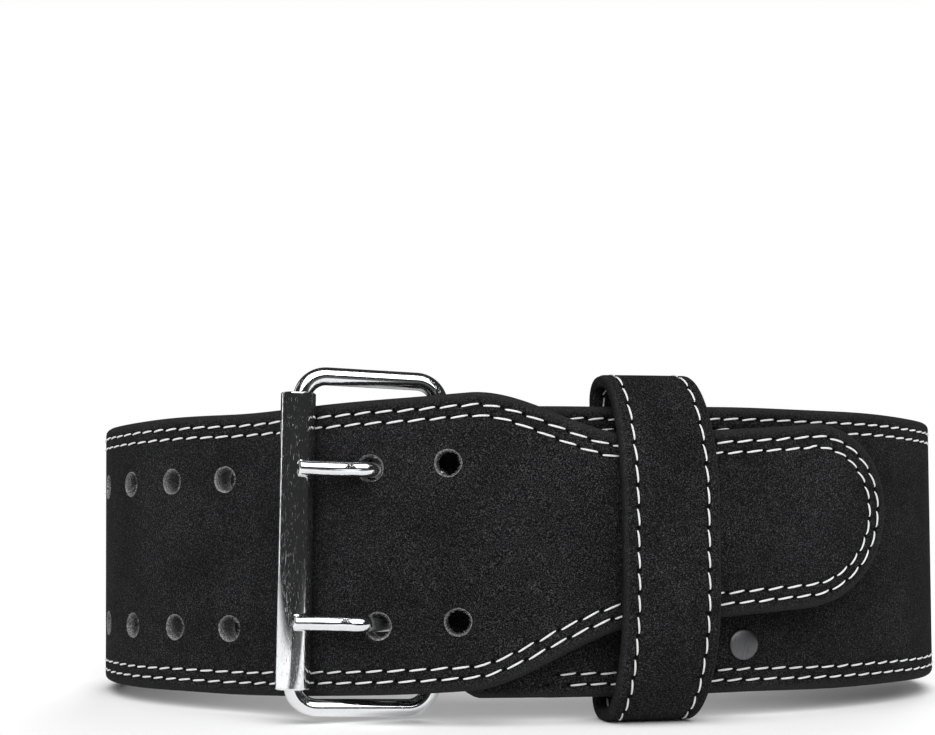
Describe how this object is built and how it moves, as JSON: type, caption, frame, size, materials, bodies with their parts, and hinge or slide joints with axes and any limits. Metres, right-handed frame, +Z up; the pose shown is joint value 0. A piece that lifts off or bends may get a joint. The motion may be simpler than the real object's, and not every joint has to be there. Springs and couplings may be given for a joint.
{
  "type": "weightlifting belt",
  "caption": "Thick suede leather belt, fastened in an oval, with a roller buckle, rows of holes, a narrowed tongue, a keeper loop and a patch at the back.",
  "frame": {"origin": "middle of the belt's outline on the surface that it stands on", "axes": "+Z up, -Y towards the buckle side, +X towards the tongue tip"},
  "size_m": [0.3408, 0.2192, 0.1234],
  "materials": {
    "strap_suede": "black suede with a short nap, white thread",
    "keeper_suede": "black suede with a short nap, white thread",
    "buckle_chrome": "polished plating",
    "rivet_metal": "dark plating, satin",
    "patch_rubber": "moulded, matt panel inside a raised rim"
  },
  "bodies": {
    "root": {"belt_strap": "strap_suede", "keeper_loop": "keeper_suede", "buckle_frame": "buckle_chrome", "buckle_roller": "buckle_chrome", "prong_upper": "buckle_chrome", "prong_lower": "buckle_chrome", "rivet_near_upper": "rivet_metal", "rivet_near_lower": "rivet_metal", "rivet_far_upper": "rivet_metal", "rivet_far_lower": "rivet_metal", "back_patch": "patch_rubber"}
  },
  "joints": []
}
